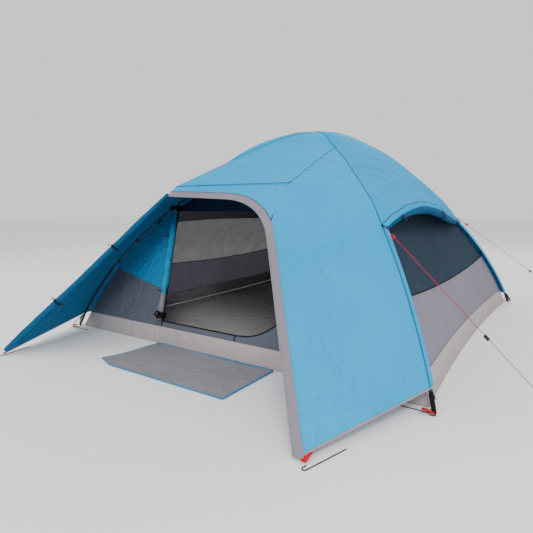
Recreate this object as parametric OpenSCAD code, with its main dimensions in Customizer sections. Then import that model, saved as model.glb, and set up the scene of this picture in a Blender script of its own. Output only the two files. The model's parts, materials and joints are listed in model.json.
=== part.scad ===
// Pop up tent: a hub frame with four folding legs, an inner tent and a fly sheet with a porch.
// Millimetres, +Z up, the front (porch) faces -Y. The origin is the floor's centre on the ground.

/* [Plan] */
// distance between the feet, side to side
plan_w = 2500; // [2000:10:3000]
// distance between the feet, front to back
plan_l = 2400; // [2000:10:3000]
// height of the fly's peak
peak_z = 1395; // [1300:5:1500]

/* [Frame] */
// distance of an arm's hinge from the hub's centre
hinge_r = 62; // [56:1:75]
// height of the arm hinges
hinge_z = 1335; // [1300:5:1350]
// length of an arm from its hinge to the elbow
arm_length = 1090; // [1000:5:1150]
// slope of an arm's chord below the horizontal
arm_slope = 26.6; // [24:0.1:28]
// rise of an arm's curve above its chord
arm_bow = 45; // [30:1:50]
// distance of a foot's tip from the centre
foot_r = 1730; // [1650:5:1780]
// rise of a leg's curve above its chord
leg_bow = 66; // [50:1:70]
// diameter of the arm and leg rods
rod_d = 9.5; // [8:0.5:11]
// distance of the elbow's pin below the rods' line
pin_drop = 14; // [13:0.5:16]

/* [Inner tent] */
// horizontal space between the rods and the inner tent
inner_gap = 32; // [26:1:40]
// height of the floor band on the front
band_front_z = 95; // [80:5:110]
// height of the floor band on the sides and the back
band_side_z = 108; // [90:2:120]
// how far the side edges of the floor are drawn in
side_bow = 45; // [20:5:60]
// height of the door's sill
sill_z = 127; // [120:1:140]
// thickness of every cloth
cloth_t = 2; // [1:0.5:3]

/* [Fly] */
// distance of the window corners from the centre
window_r = 1190; // [1180:2:1220]
// height of the window corners
window_z = 742; // [720:2:770]
// half the length of the porch's brow pole
brow_half = 417; // [380:1:440]
// distance of the brow in front of the centre
brow_y = -1012; // [-1050:2:-980]
// height of the cloth over the brow pole
brow_z = 958; // [930:2:980]
// distance of the porch arch's foot in front of the centre
arch_foot_y = -1795; // [-1850:5:-1750]
// lean of the porch arch from the ground
arch_tilt = 51.2; // [48:0.1:55]
// width of the arch's trim band
trim_w = 42; // [30:1:50]

/* [Ground] */
// width of the doormat
mat_w = 870; // [700:10:1000]
// depth of the doormat
mat_l = 378; // [300:2:420]
// reach of the guy lines' pegs, sideways
guy_x = 1802; // [1650:2:1950]
// reach of the guy lines' pegs, lengthways
guy_y = 1220; // [1000:5:1300]
// diameter of the guy lines
guy_d = 3; // [2:0.5:4]

/* [Hidden] */
$fn = 48;

// --- plan of the four diagonals: 1 front right, 2 back right, 3 back left, 4 front left
half_diagonal = sqrt(pow(plan_w / 2, 2) + pow(plan_l / 2, 2));
ux = plan_w / 2 / half_diagonal;
uy = plan_l / 2 / half_diagonal;
turn = atan2(uy, ux);
diagonal = [0, -turn, turn, 180 - turn, 180 + turn];
corner_signs = [[0, 0], [1, -1], [1, 1], [-1, 1], [-1, -1]];

// --- rods, each an arc in the plane of its diagonal: x outward, y up
rod_r = rod_d / 2;
hinge = [hinge_r, hinge_z];
elbow = hinge + arm_length * [cos(arm_slope), -sin(arm_slope)];
foot = [foot_r, 10];
function arc_radius(chord, bow) = chord * chord / (8 * bow) + bow / 2;
function arc_centre(a, b, bow) =
    let (d = (b - a) / norm(b - a))
    (a + b) / 2 + (bow - arc_radius(norm(b - a), bow)) * [-d[1], d[0]];
arm_radius = arc_radius(norm(elbow - hinge), arm_bow);
arm_centre = arc_centre(hinge, elbow, arm_bow);
leg_radius = arc_radius(norm(foot - elbow), leg_bow);
leg_centre = arc_centre(elbow, foot, leg_bow);
function bearing(p, c) = atan2(p[1] - c[1], p[0] - c[0]);
arm_from = bearing(elbow, arm_centre);
arm_to = bearing(hinge, arm_centre);
leg_from = bearing(foot, leg_centre);
leg_to = bearing(elbow, leg_centre);
arm_end_dip = 90 - arm_from;
leg_start_dip = 90 - leg_to;
leg_end_dip = 90 - leg_from;
hub_dip = 90 - arm_to;
pin = elbow - pin_drop * [sin(arm_end_dip), cos(arm_end_dip)];
function arm_z(r) = arm_centre[1] + sqrt(pow(arm_radius, 2) - pow(r - arm_centre[0], 2));
function leg_r(z) = leg_centre[0] + sqrt(pow(leg_radius, 2) - pow(z - leg_centre[1], 2));

// --- fittings
fit = 0.05;
socket_r = 8.5;
socket_length = 50;
socket_start = 14;
cheek_gap = 3.4;
cheek_out = 7.6;
elbow_pin_r = 2.5;
hub_pin_r = 3;
hub_r = 44;
hub_low = 18;
hub_high = 18;
knuckle_half = 4;
knuckle_gap = 4.4;
cheek_w = 5;
cheek_r = 11;
hub_bite = 8;
bore_half = 14;
rod_inset = 26;
foot_inset = 14;
plug_length = 11;

// --- small helpers
function mix(a, b, t) = a + (b - a) * t;
function flat(rows) = [for (row = rows) for (p = row) p];
function spread(n) = [for (i = [0 : n]) -1 + 2 * i / n];
function walk(points, t) =
    let (k = t * (len(points) - 1), i = min(floor(k), len(points) - 2))
    mix(points[i], points[i + 1], k - i);
function swing(length, radius) = length / radius * 180 / PI;
function on_diagonal(k, r, z) = [corner_signs[k][0] * ux * r, corner_signs[k][1] * uy * r, z];

// A closed thin sheet through rows of points, thickened by a shift. The rows run so that
// down the rows, then along a row, turns to the side that faces away from the shift.
module sheet(rows, shift) {
    m = len(rows[0]);
    n = len(rows);
    count = n * m;
    outer = flat(rows);
    points = concat(outer, [for (p = outer) p + shift]);
    cells = [for (i = [0 : n - 2]) for (j = [0 : m - 2])
        [i * m + j, i * m + j + 1, (i + 1) * m + j + 1, (i + 1) * m + j]];
    rim = concat(
        [for (j = [0 : m - 2]) [j, j + 1]],
        [for (i = [0 : n - 2]) [i * m + m - 1, (i + 1) * m + m - 1]],
        [for (j = [m - 1 : -1 : 1]) [(n - 1) * m + j, (n - 1) * m + j - 1]],
        [for (i = [n - 1 : -1 : 1]) [i * m, (i - 1) * m]]
    );
    faces = concat(
        [for (c = cells) each [[c[0], c[1], c[2]], [c[0], c[2], c[3]]]],
        [for (c = cells) let (b = [for (i = c) i + count]) each [[b[2], b[1], b[0]], [b[3], b[2], b[0]]]],
        [for (e = rim) each [[e[1], e[0], e[0] + count], [e[1], e[0] + count, e[1] + count]]]
    );
    sound = [for (f = faces)
        if (points[f[0]] != points[f[1]] && points[f[1]] != points[f[2]] && points[f[2]] != points[f[0]]) f];
    polyhedron(points = points, faces = sound, convexity = 6);
}

// A tube with a radius at each point of its route.
module tube(route, radii, sides) {
    n = len(route);
    function heading(i) =
        let (a = route[max(i - 1, 0)], b = route[min(i + 1, n - 1)])
        (b - a) / norm(b - a);
    function side_of(d) =
        let (s = cross(d, abs(d[2]) > 0.9 ? [1, 0, 0] : [0, 0, 1]))
        s / norm(s);
    rings = [for (i = [0 : n - 1])
        let (d = heading(i), s = side_of(d), u = cross(s, d))
        [for (k = [0 : sides - 1])
            let (a = 360 * k / sides) route[i] + radii[i] * (cos(a) * s + sin(a) * u)]];
    faces = concat(
        [[for (k = [0 : sides - 1]) k]],
        [for (i = [0 : n - 2]) for (k = [0 : sides - 1])
            let (a = i * sides + k, b = i * sides + (k + 1) % sides)
            each [[a, a + sides, b + sides], [a, b + sides, b]]],
        [[for (k = [sides - 1 : -1 : 0]) (n - 1) * sides + k]]
    );
    polyhedron(points = flat(rings), faces = faces, convexity = 4);
}

// Children drawn in a diagonal's plane: x outward, z up.
module on(k) {
    rotate([0, 0, diagonal[k]]) children();
}

// Children drawn at a point of that plane with x dipping below the horizontal.
module at(point, dip) {
    translate([point[0], 0, point[1]]) rotate([0, dip, 0]) children();
}

// A round bar along y.
module cross_bar(radius, half) {
    rotate([90, 0, 0]) cylinder(r = radius, h = 2 * half, center = true);
}

// A bent tube along an arc of the diagonal's plane.
module bent(centre, radius, from_angle, to_angle, outer, inner) {
    translate([centre[0], 0, centre[1]]) rotate([90, -from_angle, 0])
        rotate_extrude(angle = to_angle - from_angle, $fn = 180)
            translate([radius, 0]) difference() {
                circle(r = outer, $fn = 32);
                if (inner > 0) circle(r = inner, $fn = 32);
            }
}

// --- frame
module hub_body() {
    color("dimgray") difference() {
        union() {
            translate([0, 0, hinge_z - hub_low]) cylinder(r = hub_r, h = hub_low + hub_high);
            for (k = [1 : 4]) on(k) for (s = [-1, 1]) translate([0, s * (knuckle_gap + cheek_w / 2), 0]) {
                at(hinge, 0) cross_bar(cheek_r, cheek_w / 2);
                translate([hub_r - hub_bite, -cheek_w / 2, hinge_z - cheek_r])
                    cube([hinge_r - hub_r + hub_bite, cheek_w, 2 * cheek_r]);
            }
        }
        for (k = [1 : 4]) on(k) at(hinge, 0) cross_bar(hub_pin_r + fit, bore_half);
    }
}

module hub_cap() {
    dome_r = 90;
    color("black") translate([0, 0, hinge_z + hub_high]) intersection() {
        cylinder(r = 36, h = 18);
        translate([0, 0, 18 - dome_r]) sphere(r = dome_r);
    }
}

module hub_pins() {
    color("silver") for (k = [1 : 4]) on(k) at(hinge, 0) {
        cross_bar(hub_pin_r, 11);
        for (s = [-1, 1]) translate([0, s * 10.3, 0]) cross_bar(5, 0.7);
    }
}

module arm_rod(k) {
    inset = swing(rod_inset, arm_radius);
    color("darkgray") on(k) bent(arm_centre, arm_radius, arm_from + inset, arm_to - inset, rod_r, 0);
}

module arm_ends(k) {
    start = swing(socket_start, arm_radius);
    long = swing(socket_length, arm_radius);
    plug = swing(plug_length, arm_radius);
    color("black") on(k) difference() {
        union() {
            bent(arm_centre, arm_radius, arm_to - start - long, arm_to - start, socket_r, 0);
            bent(arm_centre, arm_radius, arm_from + start, arm_from + start + long, socket_r, 0);
            at(hinge, hub_dip) {
                cross_bar(9, knuckle_half);
                translate([0, -knuckle_half, -6]) cube([socket_start + 6, 2 * knuckle_half, 12]);
            }
            at(pin, arm_end_dip) for (s = [-1, 1]) translate([0, s * (cheek_gap + cheek_out) / 2, 0])
                hull() {
                    cross_bar(9, (cheek_out - cheek_gap) / 2);
                    translate([-28, -(cheek_out - cheek_gap) / 2, 7]) cube([12, cheek_out - cheek_gap, 13]);
                }
        }
        bent(arm_centre, arm_radius, arm_from + start + plug, arm_to - start - plug, rod_r + fit, 0);
        at(hinge, 0) cross_bar(hub_pin_r + fit, bore_half);
        at(pin, 0) cross_bar(elbow_pin_r + fit, bore_half);
    }
}

module elbow_pin(k) {
    color("silver") on(k) at(pin, 0) {
        cross_bar(elbow_pin_r, 9);
        for (s = [-1, 1]) translate([0, s * 8.6, 0]) cross_bar(4.5, 0.8);
    }
}

module leg_rod(k) {
    top_inset = swing(rod_inset, leg_radius);
    low_inset = swing(foot_inset, leg_radius);
    color("darkgray") on(k) bent(leg_centre, leg_radius, leg_from + low_inset, leg_to - top_inset, rod_r, 0);
}

module leg_ends(k) {
    start = swing(socket_start, leg_radius);
    long = swing(socket_length, leg_radius);
    plug = swing(plug_length, leg_radius);
    cap = swing(6, leg_radius);
    low_inset = swing(foot_inset, leg_radius);
    color("black") on(k) difference() {
        union() {
            bent(leg_centre, leg_radius, leg_to - start - long, leg_to - start, socket_r, 0);
            at(pin, leg_start_dip) hull() {
                cross_bar(8.5, 3.1);
                translate([socket_start - 4, -3.1, 7]) cube([8, 6.2, 13]);
            }
            bent(leg_centre, leg_radius, leg_from + cap, leg_from + cap + long, 7, 0);
            translate([foot[0], 0, 8]) sphere(r = 8);
        }
        bent(leg_centre, leg_radius, leg_from + low_inset, leg_to - start - plug, rod_r + fit, 0);
        at(pin, 0) cross_bar(elbow_pin_r + fit, bore_half);
    }
}

module brow_pole() {
    color("darkgray") translate([0, brow_y + 9, brow_z - 14]) rotate([0, 90, 0]) {
        cylinder(r = 4, h = 2 * brow_half - 30, center = true);
        for (s = [-1, 1]) translate([0, 0, s * (brow_half - 16)]) cylinder(r = 6, h = 14, center = true);
    }
}

// --- inner tent: every wall hangs a little inside the rods
elbow_z = 800;
function inner_r(z) = leg_r(z) - inner_gap;
function drawn_in(z) = mix(side_bow, 18, z / elbow_z);
function right_at(s, z) = [inner_r(z) * ux - drawn_in(z) * (1 - s * s), s * inner_r(z) * uy, z];
function back_at(s, z) = [-s * inner_r(z) * ux, inner_r(z) * uy - 0.3 * drawn_in(z) * (1 - s * s), z];
function front_at(x, z) = [x, -inner_r(z) * uy, z];
steps = [for (s = spread(8)) s * 0.994];
wall_top_mid = 370;
wall_top_dip = 45;
mesh_top_z = 798;
seam = 3;
band_mid_z = 55;
mat_back_y = -1196;
function wall_top(s) = wall_top_mid + wall_top_dip * s * s;
function band_levels(top, mid) = [top, mid, seam];

module floor_sheet() {
    edge = inner_r(0);
    side = [for (s = spread(10)) [edge * ux - side_bow * (1 - s * s), s * edge * uy]];
    color("gray") linear_extrude(cloth_t) polygon(concat(side, [for (p = side) -p]));
}

module side_band() {
    color("rosybrown") sheet(
        [for (z = band_levels(band_side_z, band_mid_z)) [for (s = steps) right_at(s, z)]],
        [-cloth_t, 0, 0]
    );
}

module side_wall() {
    color("gray") sheet(
        [for (t = [0 : 4]) [for (s = steps) right_at(s, mix(wall_top(s), band_side_z + seam, t / 4))]],
        [-cloth_t, 0, 0]
    );
}

module side_mesh() {
    color("darkslategray") sheet(
        [for (t = [0 : 5]) [for (s = steps) right_at(s, mix(mesh_top_z, wall_top(s) + seam, t / 5))]],
        [-cloth_t, 0, 0]
    );
}

module back_band() {
    color("rosybrown") sheet(
        [for (z = band_levels(band_side_z, band_mid_z)) [for (s = steps) back_at(s, z)]],
        [0, -cloth_t, 0]
    );
}

module back_wall() {
    color("gray") sheet(
        [for (t = [0 : 4]) [for (s = steps) back_at(s, mix(wall_top(s), band_side_z + seam, t / 4))]],
        [0, -cloth_t, 0]
    );
}

module back_mesh() {
    color("darkslategray") sheet(
        [for (t = [0 : 5]) [for (s = steps) back_at(s, mix(mesh_top_z, wall_top(s) + seam, t / 5))]],
        [0, -cloth_t, 0]
    );
}

module band_front() {
    color("rosybrown") sheet(
        [for (z = band_levels(band_front_z, band_mid_z)) [for (s = steps) front_at(s * inner_r(z) * ux, z)]],
        [0, cloth_t, 0]
    );
}

// The door reaches from the left edge round a low sill to the right edge, up to the elbows.
function door_left(z) = -455 - 285 * pow(z / 844, 2);
function door_right(z) = 130 + 610 * pow((max(z, sill_z) - sill_z) / 717, 0.41);
front_top = 400;
front_fall = 100;
function post(b, z, side) =
    front_at(mix(side * (inner_r(z) * ux - 5), side < 0 ? door_left(z) : door_right(z), b), z);
// A post beside the door, between two heights at its outer edge and two at the door's edge.
module post_sheet(side, low, high) {
    rows = [for (t = [0 : 5]) [for (b = [0 : 0.25 : 1])
        let (q = side < 0 ? b : 1 - b)
        post(q, mix(mix(high[0], high[1], q), mix(low[0], low[1], q), t / 5), side)]];
    sheet(rows, [0, cloth_t, 0]);
}

module wall_front() {
    sill_from = door_left(sill_z) - seam;
    sill_to = door_right(sill_z) + seam;
    low = band_front_z + seam;
    color("gray") {
        for (side = [-1, 1]) post_sheet(side, [low, low], [front_top, front_top - front_fall]);
        sheet(
            [for (z = [sill_z, low]) [for (t = [0, 0.5, 1]) front_at(mix(sill_from, sill_to, t), z)]],
            [0, cloth_t, 0]
        );
    }
}

module door_surround() {
    low = front_top + seam;
    color("steelblue") for (side = [-1, 1])
        post_sheet(side, [low, low - front_fall], [mesh_top_z, mesh_top_z]);
}

module door_roll() {
    route = [for (z = [772, 700, 620, 530, 440, 350, 300, 250, 200, 142])
        front_at(door_left(z) + 8, z) - [0, 36, 0]];
    color("steelblue") tube(route, [14, 22, 25, 23, 26, 25, 17, 20, 22, 12], 14);
}

module inner_roof() {
    radii = [46, 250, 500, 780, inner_r(elbow_z)];
    lift = -36;
    function crown(r) = min(arm_z(r), hinge_z) + lift;
    last = elbow_z + 2;
    function level(i, s) = i == len(radii) - 1 ? last : crown(radii[i]) - 14 * (1 - s * s);
    color("darkslategray") {
        for (m = [0, 1]) mirror([m, 0, 0]) sheet(
            [for (i = [0 : len(radii) - 1]) [for (s = steps)
                [radii[i] * ux, s * radii[i] * uy, level(i, s)]]],
            [0, 0, -cloth_t]
        );
        for (m = [0, 1]) mirror([0, m, 0]) sheet(
            [for (i = [0 : len(radii) - 1]) [for (s = steps)
                [-s * radii[i] * ux, radii[i] * uy, level(i, s)]]],
            [0, 0, -cloth_t]
        );
    }
}

// --- fly sheet
peak = [0, 0, peak_z];
over_arm = [[0, peak_z], [200, 1333], [410, 1228], [640, 1116], [900, 963], [1060, 862]];
over_arm_full = [[0, peak_z], [200, 1356], [410, 1276], [640, 1164], [900, 998], [1060, 880]];
shoulder = 2;
fly_off = 16;
window_corner = [for (k = [0 : 4]) on_diagonal(k, window_r, window_z)];
hem_z = 87;
function arm_points(k) = k == 1 ? over_arm : over_arm_full;
function arm_line(k) = concat([for (p = arm_points(k)) on_diagonal(k, p[0], p[1])], [window_corner[k]]);
function leg_line(k) = [
    window_corner[k],
    on_diagonal(k, leg_r(600) + fly_off, 600),
    on_diagonal(k, leg_r(450) + fly_off, 450),
    on_diagonal(k, leg_r(300) + fly_off, 300),
    on_diagonal(k, leg_r(180) + fly_off, 180),
    on_diagonal(k, leg_r(hem_z) + fly_off, hem_z)
];
roof_rows = [0.012, 0.09, 0.18, 0.34, 0.5, 0.66, 0.83, 1];
roof_rise = [[0, 0], [4, 14], [10, 34], [20, 66], [26, 84], [26, 80], [34, 78]];
eave_back = [for (s = spread(10)) (1 - s * s) * [62, 104]];
eave_left = [for (s = spread(10)) (1 - s * s) * [50, 60]];
eave_guyed = [for (s = spread(10)) (1 - s * s) * [50, 98 - 105 * s]];

module roof_side(a, b, out, eave, fullness) {
    rows = [for (i = [0 : len(roof_rows) - 1])
        let (
            p = walk(arm_line(a), roof_rows[i]),
            q = walk(arm_line(b), roof_rows[i]),
            d = q - p,
            edge = norm(d) > 20 ? 4 / norm(d) : 0.3
        )
        [for (j = [0 : 10])
            let (
                s = spread(10)[j],
                rise = i < len(roof_rise) ? fullness * (1 - s * s) * roof_rise[i] : eave[j]
            )
            mix(p, q, 0.5 + s * (0.5 - edge)) + rise[0] * out + [0, 0, rise[1]]]];
    color("deepskyblue") sheet(rows, [0, 0, -cloth_t] - 0.6 * cloth_t * out);
}

// The arch's outline in its leaning plane: x across, y up the slope.
arch_bend_r = 515;
arch_bend = [26.7, 649.2];
arch_leg_x = 998;
arch_leg_lean = 0.5808;
arch_left_x = -425;
arch_top_lean = 0.0546;
function arch_point(x, up) = [x, arch_foot_y + up * cos(arch_tilt), up * sin(arch_tilt)];
function arch_top(x) = x < 51
    ? 1164 + (51 - x) * arch_top_lean
    : arch_bend[1] + sqrt(pow(arch_bend_r, 2) - pow(x - arch_bend[0], 2));
function arch_leg(up, clear) = arch_point(arch_leg_x - arch_leg_lean * up + clear, up);
brow_end = [brow_half, brow_y, brow_z];
function flip(p) = [-p[0], p[1], p[2]];
function shoulder_of(k) = arm_line(k)[shoulder];

module fly_front_top() {
    rise = [10, 22, 30, 18, 0];
    across = [for (s = spread(12)) s * 0.992];
    function ends_of(k, tip) =
        concat([arm_line(k)[1]], [for (t = [0, 0.34, 0.67, 1]) mix(shoulder_of(k), tip, t)]);
    right_ends = ends_of(1, brow_end);
    left_ends = ends_of(4, flip(brow_end));
    rows = concat(
        [[for (s = across) [0, -6, peak_z - 3]]],
        [for (i = [0 : 4]) [for (s = across)
            mix(left_ends[i], right_ends[i], (s + 1) / 2) + [0, -2, rise[i] * (1 - s * s)]]],
        [[for (s = across)
            let (x = mix(arch_left_x + 4, 408, (s + 1) / 2))
            arch_point(x, arch_top(x) + 5)]]
    );
    turned = [for (row = rows) [for (j = [len(row) - 1 : -1 : 0]) row[j]]];
    color("deepskyblue") sheet(turned, [0, 0.6 * cloth_t, -cloth_t]);
}

module fly_front_right() {
    edge_up = [992, 860, 700, 520, 340, 170, 26];
    inner = concat(
        [shoulder_of(1) + [4, -4, 0], mix(shoulder_of(1), brow_end, 0.5) + [4, 0, 0], brow_end + [4, 0, 0],
            arch_point(420, edge_up[0])],
        [for (i = [1 : 6]) arch_leg(edge_up[i], 6)]
    );
    arm = arm_line(1);
    leg = leg_line(1);
    outer = concat(
        [arm[2] + [4, -4, 0], arm[3] + [-3, -4, 0], arm[4] + [-3, -4, 0]],
        [mix(arm[5], arm[6], 0.3) + [-3, -5, 0], mix(arm[5], arm[6], 0.9) + [-2, -6, -4]],
        [for (i = [1 : 5]) leg[i] + [-1, -6, 0]]
    );
    rows = [for (i = [0 : len(inner) - 1]) [for (t = [0 : 0.2 : 1]) mix(inner[i], outer[i], t)]];
    color("deepskyblue") sheet(rows, [-1.6, 1, -0.6] * cloth_t / 2);
}

module fly_front_left() {
    foot_left = [-1015, -1750, 22];
    shoulder_left = shoulder_of(4);
    brow_left = flip(brow_end);
    arm = arm_line(4);
    leg = leg_line(4);
    inner = concat(
        [shoulder_left + [-4, -4, 0], mix(shoulder_left, brow_left, 0.5) + [-4, 0, 0]],
        [for (t = [0, 0.12, 0.3, 0.45, 0.6, 0.75, 0.88, 1]) mix(brow_left + [-4, 0, 0], foot_left, t)]
    );
    outer = concat(
        [arm[2] + [-4, -4, 0], arm[3] + [3, -4, 0], arm[4] + [3, -4, 0]],
        [mix(arm[5], arm[6], 0.3) + [3, -5, 0], mix(arm[5], arm[6], 0.9) + [2, -6, -4]],
        [for (i = [1 : 5]) leg[i] + [1, -6, 0]]
    );
    rows = [for (i = [0 : len(inner) - 1]) [for (t = [0 : 0.2 : 1]) mix(outer[i], inner[i], t)]];
    color("deepskyblue") sheet(rows, [1.6, 1, -0.6] * cloth_t / 2);
}

module fly_back() {
    right_leg = leg_line(2);
    left_leg = leg_line(3);
    swell = [62, 40, 24, 14, 8, 4];
    lift = [104, 44, 8, 0, 0, 0];
    drop = [6, 0, 0, 0, 0, 0];
    rows = [for (i = [0 : 5]) [for (s = spread(10))
        mix(right_leg[i], left_leg[i], 0.5 + s * 0.498) + [0, swell[i], lift[i]] * (1 - s * s)
            - [0, 0, drop[i]]]];
    color("deepskyblue") sheet(rows, [0, -cloth_t, 0]);
}

module arch_trim() {
    bend_from = 30.16;
    bend_to = 87.0;
    low = 14;
    foot_in = trim_w / cos(bend_from);
    function curve(radius) = [for (t = [0 : 8])
        let (a = mix(bend_from, bend_to, t / 8)) arch_bend + radius * [cos(a), sin(a)]];
    foot_x = arch_leg_x - arch_leg_lean * low;
    outer = concat([[foot_x, low]], curve(arch_bend_r), [[arch_left_x, arch_top(arch_left_x)]]);
    inner = concat(
        [[foot_x - foot_in, low]],
        curve(arch_bend_r - trim_w),
        [[arch_left_x, arch_top(arch_left_x) - trim_w]]
    );
    color("gray") translate([0, arch_foot_y, 0]) rotate([arch_tilt, 0, 0]) linear_extrude(3)
        polygon(concat(outer, [for (i = [len(inner) - 1 : -1 : 0]) inner[i]]));
}

function fly_roll_at(t) = mix([-439, -1064, 912], [-990, -1786, 34], t) - [0, 0, 10 * sin(180 * t)];
module fly_door_roll() {
    route = [for (t = [0 : 0.1 : 1]) fly_roll_at(t)];
    color("deepskyblue") tube(route, [11, 16, 20, 19, 22, 22, 20, 23, 23, 22, 16], 14);
}

// Where a rolled window hangs, at a step along its eave.
function roll_at(eave, j) =
    let (s = spread(10)[j], corner = window_corner[2])
    [corner[0] + 10 + eave[j][0], s * (corner[1] - 24), corner[2] + eave[j][1] - 46 + 22 * s * s];
module window_roll(eave) {
    route = [for (j = [0 : 10]) roll_at(eave, j)];
    color("steelblue") tube(route, [10, 18, 24, 28, 27, 30, 29, 27, 26, 20, 10], 14);
}

// --- on the ground and on the cloth
module mat() {
    front = mat_back_y - mat_l;
    half = mat_w / 2;
    cut = [[-half + 75, front], [-half - 55, front + 42], [-half - 20, front + 140]];
    color("gray") linear_extrude(cloth_t)
        polygon(concat([[-half, mat_back_y], [half, mat_back_y], [half, front]], cut));
}

module peg(place, heading) {
    wire = 2;
    bend = 9;
    long = 175;
    translate([place[0], place[1], wire]) rotate([0, 0, heading]) {
        translate([0, -bend, 0]) rotate([0, 90, 0]) cylinder(r = wire, h = long);
        rotate([0, 0, 90]) rotate_extrude(angle = 180) translate([bend, 0]) circle(r = wire, $fn = 20);
        translate([0, bend, 0]) rotate([0, 90, 0]) cylinder(r = wire, h = 14);
        translate([long, -bend, 0]) rotate([0, 90, 0]) cylinder(r1 = wire, r2 = 0.5, h = 12, $fn = 24);
    }
}

module pegs() {
    color("black") {
        peg([1262, -1236], 180);
        peg([1262, 1236], 180);
        peg([-1262, 1236], 0);
        peg([-1262, -1236], 0);
        peg([1006, -1812], 72);
        peg([-1030, -1812], 100);
        peg([guy_x + 10, -guy_y], -guy_turn);
        peg([guy_x + 10, guy_y], guy_turn);
    }
}

module corner_straps() {
    color("black") for (k = [1 : 4]) on(k) at([leg_r(82) + 13, 82], leg_end_dip) {
        translate([0, -10, -1]) cube([76, 20, 2]);
        translate([24, -13, 1]) cube([18, 26, 5]);
    }
}

module pole_clips() {
    clip_r = 6.6;
    color("black") for (k = [1 : 4]) on(k) for (z = [450, 600]) {
        dip = 90 - bearing([leg_r(z), z], leg_centre);
        at([leg_r(z), z], dip) {
            difference() {
                translate([-11, 0, 0]) rotate([0, 90, 0]) cylinder(r = clip_r, h = 22);
                translate([-15, 0, 0]) rotate([0, 90, 0]) cylinder(r = rod_r + 0.6, h = 30);
            }
            translate([-7, -4, -21]) cube([14, 8, 14]);
        }
    }
}

module toggle_bar(place, turned, long) {
    translate(place) rotate(turned) cylinder(r = 4, h = long, center = true);
}

module toggles() {
    color("black") {
        for (t = [0.36, 0.7]) toggle_bar(fly_roll_at(t) + [-14, -19, 24], [0, 90, 143], 36);
        for (j = [1, 5, 9]) {
            toggle_bar(roll_at(eave_guyed, j) + [38, 0, 0], [0, 0, 0], 30);
            toggle_bar(flip(roll_at(eave_left, j)) - [38, 0, 0], [0, 0, 0], 30);
        }
        for (z = [640, 318]) toggle_bar(front_at(door_left(z) + 8, z) - [0, 74, 0], [0, 90, 0], 30);
    }
}

// --- guy lines: from a window corner straight to a peg
guy_top = on_diagonal(2, window_r + 26, window_z - 6);
guy_low = [guy_x - 2, guy_y, 5];
function guy_at(t, side) = let (p = mix(guy_top, guy_low, t)) [p[0], side * p[1], p[2]];
guy_dip = atan2(guy_top[2] - guy_low[2], norm([guy_low[0] - guy_top[0], guy_low[1] - guy_top[1]]));
guy_turn = atan2(guy_low[1] - guy_top[1], guy_low[0] - guy_top[0]);

module guy(side) {
    route = [for (i = [0 : 20]) guy_at(i / 20, side)];
    color("crimson") tube(route, [for (p = route) guy_d / 2], 8);
}

// A small block with a hole for the line, at a share of the line's length.
module line_block(t, side, long, wide, tall) {
    translate(guy_at(t, side)) rotate([0, guy_dip, side * guy_turn]) difference() {
        translate([-long / 2, -wide / 2, -tall * 0.6]) cube([long, wide, tall]);
        translate([-long, 0, 0]) rotate([0, 90, 0]) cylinder(r = guy_d / 2 + 0.2, h = 2 * long);
    }
}

module tensioners() {
    color("crimson") for (side = [-1, 1]) line_block(0.065, side, 24, 7, 15);
}

module runner(side) {
    color("black") line_block(0.59, side, 26, 7, 13);
}

hub_body();
hub_cap();
hub_pins();
arm_rod(1);  // arm_rod_1
arm_rod(2);  // arm_rod_2
arm_rod(3);  // arm_rod_3
arm_rod(4);  // arm_rod_4
arm_ends(1);  // arm_ends_1
arm_ends(2);  // arm_ends_2
arm_ends(3);  // arm_ends_3
arm_ends(4);  // arm_ends_4
elbow_pin(1);  // elbow_pin_1
elbow_pin(2);  // elbow_pin_2
elbow_pin(3);  // elbow_pin_3
elbow_pin(4);  // elbow_pin_4
leg_rod(1);  // leg_rod_1
leg_rod(2);  // leg_rod_2
leg_rod(3);  // leg_rod_3
leg_rod(4);  // leg_rod_4
leg_ends(1);  // leg_ends_1
leg_ends(2);  // leg_ends_2
leg_ends(3);  // leg_ends_3
leg_ends(4);  // leg_ends_4
brow_pole();
floor_sheet();  // floor
band_front();
side_band();  // band_right
back_band();  // band_back
mirror([1, 0, 0]) side_band();  // band_left
wall_front();
side_wall();  // wall_right
back_wall();  // wall_back
mirror([1, 0, 0]) side_wall();  // wall_left
side_mesh();  // mesh_right
back_mesh();  // mesh_back
mirror([1, 0, 0]) side_mesh();  // mesh_left
door_surround();
door_roll();
inner_roof();
roof_side(1, 2, [1, 0, 0], eave_guyed, 1);  // fly_roof_right
roof_side(2, 3, [0, 1, 0], eave_back, 1.2);  // fly_roof_back
roof_side(3, 4, [-1, 0, 0], eave_left, 1.5);  // fly_roof_left
fly_front_top();
fly_front_right();
fly_front_left();
fly_back();
arch_trim();
fly_door_roll();
window_roll(eave_guyed);  // window_roll_right
mirror([1, 0, 0]) window_roll(eave_left);  // window_roll_left
mat();
pegs();
corner_straps();
pole_clips();
toggles();
guy(-1);  // guy_near
guy(1);  // guy_far
tensioners();
runner(-1);  // runner_near
runner(1);  // runner_far
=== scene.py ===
"""Pop up tent: fly sheet with a porch, mesh inner tent, rolled door and windows, on a hub frame."""
import json
import math
import random

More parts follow.
